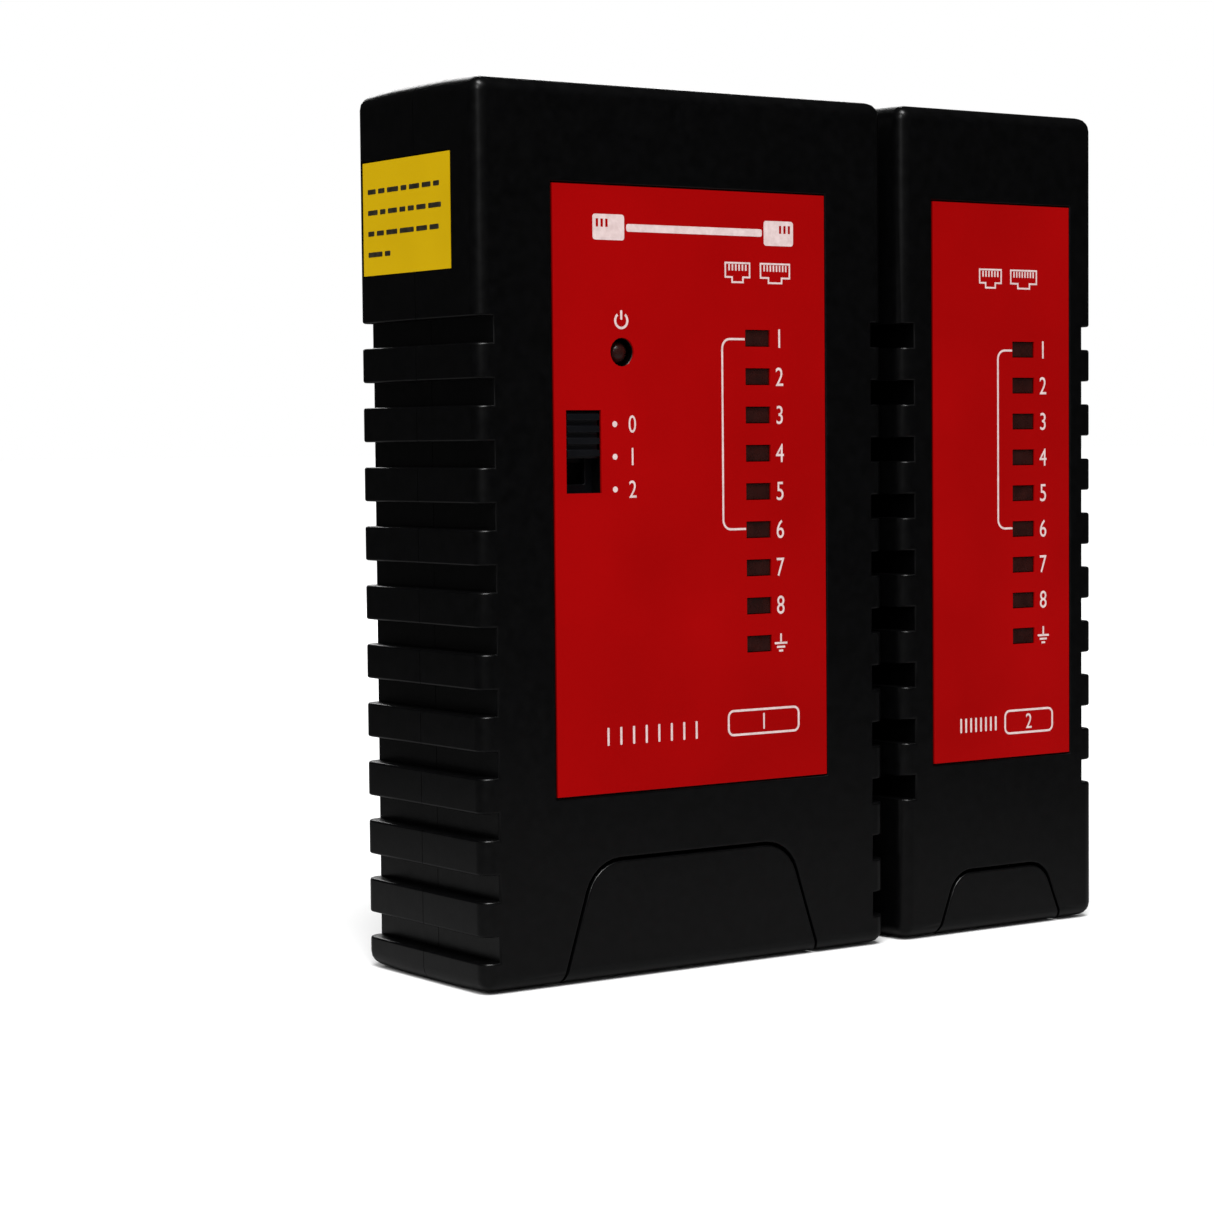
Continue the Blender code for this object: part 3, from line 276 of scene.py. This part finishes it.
def make_paints():
    return {
        "case_plastic": case_plastic(),
        "faceplate_film": film("film_red", (0.225, 0.0004, 0.0006), (0.265, 0.0007, 0.0010)),
        "caution_film": film("film_yellow", (0.42, 0.265, 0.0008), (0.48, 0.31, 0.0015)),
        "lamp_lens": lens(),
        "jack_plastic": plain_plastic("jack_black", (0.006, 0.006, 0.006), (0.012, 0.012, 0.012)),
        "contact_gold": metal("contact_gold_plate", (0.72, 0.46, 0.14), (0.92, 0.64, 0.24), (1, 1, 0.1)),
        "board_laminate": board_laminate(),
        "plated_steel": metal("zinc_plate", (0.5, 0.5, 0.52), (0.68, 0.68, 0.7)),
        "switch_plastic": plain_plastic(
            "switch_black", (0.0010, 0.0012, 0.0022), (0.0020, 0.0024, 0.0040), 0.35, 0.45, gloss=0.4
        ),
        "chip_epoxy": plain_plastic("chip_black", (0.010, 0.010, 0.011), (0.018, 0.018, 0.020), 0.5, 0.65),
        "capacitor_sleeve": plain_plastic(
            "capacitor_blue", (0.01, 0.015, 0.09), (0.02, 0.03, 0.14), 0.25, 0.35
        ),
        "battery_jacket": metal(
            "battery_foil", (0.10, 0.11, 0.12), (0.16, 0.17, 0.18), (1, 1, 0.2), 0.3, 0.4
        ),
        "wire_red": plain_plastic("sleeve_red", (0.32, 0.006, 0.006), (0.42, 0.012, 0.010), 0.35, 0.45),
        "wire_black": plain_plastic("sleeve_black", (0.006, 0.006, 0.006), (0.012, 0.012, 0.012), 0.35, 0.45),
        "ink_white": ink("ink_white", (0.50, 0.38, 0.37), (0.60, 0.48, 0.47)),
        "ink_dark": ink("ink_dark", (0.010, 0.008, 0.004), (0.030, 0.024, 0.010)),
    }


# ---------------------------------------------------------------- mesh tools


def fine_copy(node):
    """A copy of a CAD node's mesh with each flat stretch made one face, or a few where it rings openings."""
    bm = bmesh.new()
    bm.from_mesh(frame["nodes"][node].data)
    bmesh.ops.remove_doubles(bm, verts=bm.verts, dist=MERGE * MM)
    bmesh.ops.dissolve_limit(bm, angle_limit=math.radians(FLAT_WITHIN), verts=bm.verts, edges=bm.edges)
    for group in flat_groups(bm):
        open_rings(bm, group)
    mesh = bpy.data.meshes.new(f"{node}_fine")
    bm.to_mesh(mesh)
    bm.free()
    stored = mesh.attributes.get("custom_normal")
    if stored:  # the CAD mesh's own normals: with them, some edges are not marked sharp
        mesh.attributes.remove(stored)
    return mesh


def connected(items, links):
    """Splits items into groups that are joined by links, a function from an item to its neighbours."""
    groups, seen = [], set()
    for first in items:
        if first in seen:
            continue
        group, waiting = [], [first]
        seen.add(first)
        while waiting:
            item = waiting.pop()
            group.append(item)
            for other in links(item):
                if other not in seen:
                    seen.add(other)
                    waiting.append(other)
        groups.append(group)
    return groups


def flat_groups(bm):
    """The groups of neighbouring faces that lie in one plane."""
    def level_neighbours(face):
        for edge in face.edges:
            if len(edge.link_faces) == 2 and edge.calc_face_angle() < math.radians(FLAT_WITHIN):
                yield from edge.link_faces

    return connected(list(bm.faces), level_neighbours)


def borders(faces):
    """The closed borders of a group of faces, as lists of their vertices."""
    inside = set(faces)
    rim = {edge for face in faces for edge in face.edges if sum(f in inside for f in edge.link_faces) == 1}
    edges = (edge for face in faces for edge in face.edges if edge in rim)
    corners = list(dict.fromkeys(v for edge in edges for v in edge.verts))
    return connected(corners, lambda v: [e.other_vert(v) for e in v.link_edges if e in rim])


def open_rings(bm, faces):
    """Cuts a flat group of faces along lines through the middles of the openings that it rings."""
    axis = 1 if abs(faces[0].normal.x) > math.sqrt(0.5) else 0
    spans = []
    for border in borders(faces):
        places = [vertex.co[axis] for vertex in border]
        spans.append((max(places) - min(places), (max(places) + min(places)) / 2))
    openings = sorted(spans)[:-1]
    across = Vector((1, 0, 0)) if axis == 0 else Vector((0, 1, 0))
    for middle in sorted({round(middle / MM, 1) for _, middle in openings}):
        geometry = list(dict.fromkeys(g for face in faces for g in (face, *face.edges, *face.verts)))
        cut = bmesh.ops.bisect_plane(
            bm, geom=geometry, dist=0.001 * MM, plane_co=across * (middle + CUT_SHIFT) * MM, plane_no=across
        )
        faces = [g for g in cut["geom"] if isinstance(g, bmesh.types.BMFace)]


def outer_edges(mesh, angle):
    """The convex edges where two faces meet at more than the given angle, each with its middle."""
    bm = bmesh.new()
    bm.from_mesh(mesh)
    found = []
    for edge in bm.edges:
        if len(edge.link_faces) == 2 and edge.is_convex and edge.calc_face_angle() > angle:
            found.append((edge.index, (edge.verts[0].co + edge.verts[1].co) / 2))
    bm.free()
    return found


def on_skin(place, low, high, gripped):
    """Whether a place on a case part is outside it: near a face, an end or, on a shell, a grip groove."""
    from_face = min(place.y - cad_low.y, cad_high.y - place.y) / MM
    from_end = min(place.z - cad_low.z, cad_high.z - place.z) / MM
    if abs(place.y) < PARTING_HALF * MM or max(from_face, from_end) < CORNER_BAND:
        return False
    if min(from_face, from_end) < SKIN_FACE:
        return True
    from_side = min(place.x - low.x, high.x - place.x) / MM
    return gripped and place.z < GRIP_TOP * MM and from_side < SKIN_GROOVE


def weigh_skin(mesh, node):
    """Gives the edges to be rounded a bevel weight."""
    low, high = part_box(node)
    weights = mesh.attributes.new("bevel_weight_edge", "FLOAT", "EDGE")
    for index, place in outer_edges(mesh, math.radians(SKIN_ROUND_FROM)):
        weights.data[index].value = 1.0 if on_skin(place, low, high, node.endswith("_shell")) else 0.0


def rounded_mesh(mesh, node, width, segments, skin_only):
    """The mesh with its edges rounded: all the sharp ones, or only those outside a case part."""
    temporary = bpy.data.objects.new(f"{node}_rounding", mesh)
    bpy.context.scene.collection.objects.link(temporary)
    bevel = temporary.modifiers.new("rounding", "BEVEL")
    bevel.width = width * MM
    bevel.segments = segments
    bevel.use_clamp_overlap = not skin_only
    bevel.limit_method = "WEIGHT" if skin_only else "ANGLE"
    bevel.angle_limit = math.radians(ROUND_FROM)
    if skin_only:
        weigh_skin(mesh, node)
    graph = bpy.context.evaluated_depsgraph_get()
    result = bpy.data.meshes.new_from_object(temporary.evaluated_get(graph))
    bpy.data.objects.remove(temporary)
    return result


def refined(node, width, segments, skin_only=False):
    """The finer piece that stands for a CAD node: rounded edges, smooth shading and its own material."""
    mesh = fine_copy(node)
    if width:
        mesh = rounded_mesh(mesh, node, width, segments, skin_only)
    mesh.name = f"{node}_fine"
    mesh.shade_smooth()
    mesh.set_sharp_from_angle(angle=math.radians(SHARP_FROM))
    mesh.materials.clear()
    mesh.materials.append(paints[slot_of[node]])
    piece = bpy.data.objects.new(f"{node}_fine", mesh)
    bpy.context.scene.collection.objects.link(piece)
    normals = piece.modifiers.new("normals", "WEIGHTED_NORMAL")
    normals.keep_sharp = True
    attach(piece, body_of[node])
    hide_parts(node)
    return piece


# ---------------------------------------------------------------- printing


class Surface:
    """A flat face that is printed on: its body, its own left-to-right and upward axes, and its origin.

    Places on it are in millimetres from the origin, u to the reader's right and v upwards.
    """

    def __init__(self, name, body, slot, origin, right, up):
        self.name = name
        self.body = body
        self.slot = slot
        normal = right.cross(up)
        self.matrix = Matrix.Translation(origin) @ Matrix((right, up, normal)).transposed().to_4x4()

    def print_mesh(self, name, mesh, paint):
        mesh.transform(self.matrix)
        mesh.materials.clear()
        mesh.materials.append(paints[paint])
        piece = bpy.data.objects.new(f"{self.name}_{name}", mesh)
        bpy.context.scene.collection.objects.link(piece)
        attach(piece, self.body)
        return piece

    def shapes(self, name, outlines, paint="ink_white"):
        """Prints closed outlines, each a list of (u, v). An outline inside another is a hole in it."""
        curve = bpy.data.curves.new(name, "CURVE")
        curve.dimensions = "2D"
        curve.fill_mode = "BOTH"
        curve.extrude = INK_THICKNESS * MM
        for outline in outlines:
            spline = curve.splines.new("POLY")
            spline.points.add(len(outline) - 1)
            for point, (u, v) in zip(spline.points, outline):
                point.co = (u * MM, v * MM, 0, 1)
            spline.use_cyclic_u = True
        return self.print_mesh(name, welded(curve_mesh(name, curve)), paint)

    def digits(self, name, labels, height, paint="ink_white", narrow=0.82):
        """Prints (text, u, v) labels, each centred on its place."""
        bm = bmesh.new()
        for text, u, v in labels:
            glyph = glyph_mesh(text, height, narrow)
            glyph.transform(Matrix.Translation((u * MM, v * MM, 0)))
            bm.from_mesh(glyph)
            bpy.data.meshes.remove(glyph)
        mesh = bpy.data.meshes.new(name)
        bm.to_mesh(mesh)
        bm.free()
        return self.print_mesh(name, mesh, paint)


def curve_mesh(name, curve):
    temporary = bpy.data.objects.new(name, curve)
    bpy.context.scene.collection.objects.link(temporary)
    graph = bpy.context.evaluated_depsgraph_get()
    mesh = bpy.data.meshes.new_from_object(temporary.evaluated_get(graph))
    bpy.data.objects.remove(temporary)
    return mesh


def welded(mesh):
    bm = bmesh.new()
    bm.from_mesh(mesh)
    bmesh.ops.remove_doubles(bm, verts=bm.verts, dist=MERGE * MM)
    bm.to_mesh(mesh)
    bm.free()
    return mesh


def glyph_mesh(text, height, narrow):
    """A character of the given height in mm, centred on the origin, from Blender's own font."""
    font = bpy.data.curves.new(f"glyph_{text}", "FONT")
    font.body = text
    font.extrude = 1.0
    font.resolution_u = 6
    mesh = welded(curve_mesh(f"glyph_{text}", font))
    places = [vertex.co for vertex in mesh.vertices]
    low = Vector([min(p[i] for p in places) for i in range(3)])
    high = Vector([max(p[i] for p in places) for i in range(3)])
    scale = height * MM / (high.y - low.y)
    depth = 2 * INK_THICKNESS * MM / (high.z - low.z)
    mesh.transform(Matrix.Translation(-(low + high) / 2))
    mesh.transform(Matrix.Diagonal((scale * narrow, scale, depth, 1)))
    return mesh


def rounded(u0, u1, v0, v1, radius, steps=4):
    """The outline of a rectangle with rounded corners."""
    radius = min(radius, (u1 - u0) / 2 - 1e-3, (v1 - v0) / 2 - 1e-3)
    left, right, low, high = u0 + radius, u1 - radius, v0 + radius, v1 - radius
    corners = ((right, high), (left, high), (left, low), (right, low))
    outline = []
    for quarter, (u, v) in enumerate(corners):
        for step in range(steps + 1):
            turn = math.pi / 2 * (quarter + step / steps)
            outline.append((u + radius * math.cos(turn), v + radius * math.sin(turn)))
    return outline


def disc(u, v, radius, steps=20):
    return [
        (u + radius * math.cos(2 * math.pi * i / steps), v + radius * math.sin(2 * math.pi * i / steps))
        for i in range(steps)
    ]


def bar(u, v, length, height):
    return rounded(u - length / 2, u + length / 2, v - height / 2, v + height / 2, height * 0.3)


def bracket(u_line, u_end, v_top, v_bottom, width, radius=1.3, steps=6):
    """A square bracket open to the right, drawn as a line of even width with round corners."""
    u_turn, high, low = u_line + radius, v_top - radius, v_bottom + radius

    def side(offset):
        reach = radius - offset
        points = [(u_end, v_top - offset)]
        for step in range(steps + 1):
            turn = math.pi / 2 * (1 + step / steps)
            points.append((u_turn + reach * math.cos(turn), high + reach * math.sin(turn)))
        for step in range(steps + 1):
            turn = math.pi + math.pi / 2 * step / steps
            points.append((u_turn + reach * math.cos(turn), low + reach * math.sin(turn)))
        points.append((u_end, v_bottom + offset))
        return points

    return side(0) + side(width)[::-1]


def ground_symbol(u, v, height, width=0.26):
    """The ground sign: a stem over three shortening bars."""
    top, bottom = v + height / 2, v - height / 2
    bars = [(bottom + height * 0.42, 2.0), (bottom + height * 0.21, 1.3), (bottom, 0.65)]
    outlines = [rounded(u - width / 2, u + width / 2, bars[0][0] + width + 0.02, top, 0.05)]
    for base, length in bars:
        outlines.append(rounded(u - length / 2, u + length / 2, base, base + width, 0.05))
    return outlines


def power_symbol(u, v, radius, width=0.3, steps=20):
    """The standby sign: a ring open at the top with a stem in the opening."""
    half_gap = math.radians(38)
    turns = [math.pi / 2 + half_gap + (2 * math.pi - 2 * half_gap) * i / steps for i in range(steps + 1)]
    outer = [(u + radius * math.cos(t), v + radius * math.sin(t)) for t in turns]
    hole = radius - width
    inner = [(u + hole * math.cos(t), v + hole * math.sin(t)) for t in reversed(turns)]
    stem = rounded(u - width / 2, u + width / 2, v + radius * 0.1, v + radius * 1.2, 0.1)
    return [outer + inner, stem]


def plug(u, v, length, height, nose):
    """A modular plug seen from the side, its nose pointing left (-1) or right (1)."""
    body = rounded(u - length / 2, u + length / 2, v - height / 2, v + height / 2, height * 0.12)
    windows = []
    for i in range(3):
        middle = u + nose * length * (0.06 + 0.15 * i)
        windows.append(rounded(middle - length * 0.04, middle + length * 0.04, v, v + height * 0.32, 0.05))
    return [body, *windows]


def socket(u, v, width, height, poles):
    """A modular socket seen from the front: a frame with its latch notch, and its contacts."""
    line = 0.22
    notch, step = width * 0.24, height * 0.24

    def frame_outline(inset):
        half, low, high = width / 2 - inset, v - height / 2 + inset, v + height / 2 - inset
        foot = notch - inset
        shoulder = low + step
        return [
            (u - foot, low), (u + foot, low), (u + foot, shoulder), (u + half, shoulder),
            (u + half, high), (u - half, high), (u - half, shoulder), (u - foot, shoulder),
        ]

    outlines = [frame_outline(0), frame_outline(line)]
    pitch = (width - 4 * line) / poles
    half = pitch * 0.22
    for i in range(poles):
        middle = u + (i - (poles - 1) / 2) * pitch
        high = v + height / 2 - line - 0.06
        outlines.append(rounded(middle - half, middle + half, high - height * 0.3, high, 0.02))
    return outlines


def wires(u, v, length, height, count=8, width=0.3):
    """A row of upright strokes, one for each wire of a cable."""
    pitch = (length - width) / (count - 1)
    places = [u + (i - (count - 1) / 2) * pitch for i in range(count)]
    return [rounded(x - width / 2, x + width / 2, v - height / 2, v + height / 2, 0.1) for x in places]


def unit_sign(surface, number, u, v, length, height=3.3, line=0.28):
    """The unit's number in a rounded frame."""
    frames = []
    for inset in (0, line):
        half_u, half_v = length / 2 - inset, height / 2 - inset
        frames.append(rounded(u - half_u, u + half_u, v - half_v, v + half_v, 0.9 - inset))
    surface.shapes("unit_frame", frames)
    surface.digits("unit_number", [(number, u, v)], UNIT_DIGIT_HEIGHT)


def cable_sign(u, v, length, height):
    """A cable with a plug at each end."""
    plug_length = height * 1.5
    reach = length / 2 - plug_length / 2
    cord = bar(u, v, 2 * reach - plug_length - 0.6, height * 0.3)
    return [*plug(u - reach, v, plug_length, height, -1), cord, *plug(u + reach, v, plug_length, height, 1)]


def lamp_places(unit, origin):
    """The (u, v) of each lamp's centre on a unit's film, by its name."""
    places = {}
    for name in NUMBERED_LAMPS + "g":
        low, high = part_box(f"{unit}_lamp_{name}")
        middle = ((low + high) / 2 - origin) / MM
        places[name] = (middle.x, middle.z)
    return places


def print_unit(unit):
    """Prints what both units have on their films; what is only on the master's is printed after it."""
    layout = LAYOUT[unit]
    film_low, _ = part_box(f"{unit}_faceplate")
    origin = Vector((film_low.x - layout["film"] * MM, film_low.y, 0))
    surface = Surface(unit, unit, "faceplate_film", origin, Vector((1, 0, 0)), Vector((0, 0, 1)))
    lamps = lamp_places(unit, origin)
    labels = [(n, lamps[n][0] + layout["digits"], lamps[n][1]) for n in NUMBERED_LAMPS]
    surface.digits("lamp_numbers", labels, DIGIT_HEIGHT)
    ground = (lamps["g"][0] + layout["digits"], lamps["g"][1])
    surface.shapes("ground_sign", ground_symbol(*ground, DIGIT_HEIGHT))
    line, end = lamps["1"][0] - layout["bracket"], lamps["1"][0] - WINDOW_HALF - BRACKET_GAP
    surface.shapes("bracket", [bracket(line, end, lamps["1"][1], lamps["6"][1], LINE_WIDTH)])
    signs = [*socket(*layout["rj11"], *RJ11_SIGN), *socket(*layout["rj45"], *RJ45_SIGN)]
    surface.shapes("socket_signs", signs)
    surface.shapes("wire_sign", wires(*layout["wires"]))
    unit_sign(surface, *layout["number"])
    return surface


def print_master():
    surface = print_unit("master")
    surface.shapes("title_sign", cable_sign(*TITLE_SIGN))
    surface.shapes("power_sign", power_symbol(*POWER_SIGN))
    surface.shapes("switch_dots", [disc(u, v, SWITCH_DOT_RADIUS) for u, v in SWITCH_MARKS])
    reach, height = SWITCH_DIGITS
    numbers = [(str(i), u + reach, v) for i, (u, v) in enumerate(SWITCH_MARKS)]
    surface.digits("switch_numbers", numbers, height)


def print_side_label():
    """Lines of short bars, in place of the words on the side label."""
    low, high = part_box("master_caution_label")
    origin = Vector((low.x, high.y, low.z))
    surface = Surface("side_label", "master", "caution_film", origin, Vector((0, -1, 0)), Vector((0, 0, 1)))
    width, height = (high.y - low.y) / MM, (high.z - low.z) / MM
    rng = random.Random(LABEL_SEED)
    outlines = []
    for line, fill in enumerate(LABEL_LINES):
        v = height * (LABEL_FIRST - LABEL_LEADING * line)
        u = width * LABEL_MARGIN
        while u < width * fill - WORD_LEAST:
            word = min(rng.uniform(*WORD_LENGTH), width * fill - u)
            outlines.append(rounded(u, u + word, v - WORD_HALF_HEIGHT, v + WORD_HALF_HEIGHT, 0.12))
            u += word + WORD_GAP
    surface.shapes("print", outlines, "ink_dark")


# ---------------------------------------------------------------- pieces


def build_pieces():
    for node in sorted(frame["nodes"]):
        if node.endswith("_shell"):
            refined(node, CASE_ROUND, 3, skin_only=True)
        elif node.endswith("_cap"):
            refined(node, CAP_ROUND, 3, skin_only=True)
        elif node.endswith("_faceplate") or node.endswith("_label"):
            refined(node, FILM_ROUND, 2)
        elif node.endswith("_contacts"):
            refined(node, CONTACT_ROUND, 2)
        elif "lead" in node or node.endswith("_board"):
            refined(node, 0, 0)
        else:
            refined(node, FINE_ROUND, 2)


# ---------------------------------------------------------------- studio


def make_floor():
    bm = bmesh.new()
    bmesh.ops.create_grid(bm, x_segments=4, y_segments=4, size=FLOOR_SIZE)
    mesh = bpy.data.meshes.new("floor")
    bm.to_mesh(mesh)
    bm.free()
    n = Nodes("floor_paper")
    n.colour(n.noise(3), (0.86, 0.86, 0.86), (0.89, 0.89, 0.89))
    n.set(Roughness=0.9, Specular_IOR_Level=0.1)
    dim_in_reflections(n)
    mesh.materials.append(n.material)
    floor = bpy.data.objects.new("floor", mesh)
    floor.location.z = cad_low.z
    bpy.context.scene.collection.objects.link(floor)


def dim_in_reflections(n):
    """Shows the floor darker to reflections, and darkest away from the object, as black cards would."""
    tree = n.tree
    away = tree.nodes.new("ShaderNodeVectorMath")
    away.operation = "LENGTH"
    tree.links.new(n.coordinates, away.inputs[0])
    fall = tree.nodes.new("ShaderNodeMapRange")
    for name, value in FLOOR_REFLECTION.items():
        fall.inputs[name].default_value = value
    tree.links.new(away.outputs["Value"], fall.inputs["Value"])
    path = tree.nodes.new("ShaderNodeLightPath")
    card = tree.nodes.new("ShaderNodeBsdfDiffuse")
    tree.links.new(fall.outputs["Result"], card.inputs["Color"])
    mix = tree.nodes.new("ShaderNodeMixShader")
    tree.links.new(path.outputs["Is Glossy Ray"], mix.inputs["Fac"])
    tree.links.new(n.shader.outputs["BSDF"], mix.inputs[1])
    tree.links.new(card.outputs["BSDF"], mix.inputs[2])
    tree.links.new(mix.outputs["Shader"], tree.nodes["Material Output"].inputs["Surface"])


def background(tree, strength):
    node = tree.nodes.new("ShaderNodeBackground")
    node.inputs["Color"].default_value = (1, 1, 1, 1)
    node.inputs["Strength"].default_value = strength
    return node.outputs["Background"]


def make_world():
    """White behind the object, a soft fill, and next to nothing in reflections."""
    world = bpy.data.worlds.new("studio")
    world.use_nodes = True
    tree = world.node_tree
    tree.nodes.clear()
    path = tree.nodes.new("ShaderNodeLightPath")
    shade = background(tree, WORLD_FILL)
    for ray, strength in WORLD_SEEN.items():
        mix = tree.nodes.new("ShaderNodeMixShader")
        tree.links.new(path.outputs[ray], mix.inputs["Fac"])
        tree.links.new(shade, mix.inputs[1])
        tree.links.new(background(tree, strength), mix.inputs[2])
        shade = mix.outputs["Shader"]
    output = tree.nodes.new("ShaderNodeOutputWorld")
    tree.links.new(shade, output.inputs["Surface"])
    bpy.context.scene.world = world


def add_area(name, place, target, width, height, power):
    light = bpy.data.lights.new(name, "AREA")
    light.shape = "RECTANGLE"
    light.size, light.size_y = width, height
    light.energy = power
    lamp = bpy.data.objects.new(name, light)
    lamp.location = place
    lamp.rotation_euler = (Vector(target) - Vector(place)).to_track_quat("-Z", "Y").to_euler()
    bpy.context.scene.collection.objects.link(lamp)


def make_lights():
    sun = bpy.data.lights.new("sky_panel", "SUN")
    sun.energy = SUN_STRENGTH
    sun.angle = math.radians(SUN_SPREAD)
    lamp = bpy.data.objects.new("sky_panel", sun)
    lamp.rotation_euler = Vector(SUN_DIRECTION).to_track_quat("-Z", "Y").to_euler()
    bpy.context.scene.collection.objects.link(lamp)
    for name, light in AREA_LIGHTS.items():
        add_area(name, *light)


def make_camera():
    camera = bpy.data.cameras.new("camera")
    camera.sensor_width = SENSOR
    camera.lens = LENS
    camera.clip_start = 0.01
    obj = bpy.data.objects.new("camera", camera)
    back = -CAMERA_FORWARD.normalized()
    right = CAMERA_FORWARD.cross(CAMERA_UP).normalized()
    up = back.cross(right)
    obj.matrix_world = Matrix.Translation(CAMERA_PLACE) @ Matrix((right, up, back)).transposed().to_4x4()
    bpy.context.scene.collection.objects.link(obj)
    bpy.context.scene.camera = obj


bpy.context.scene.view_settings.view_transform = "Standard"
paints = make_paints()
make_camera()
make_world()
make_floor()
make_lights()
build_pieces()
print_master()
print_unit("remote")
print_side_label()
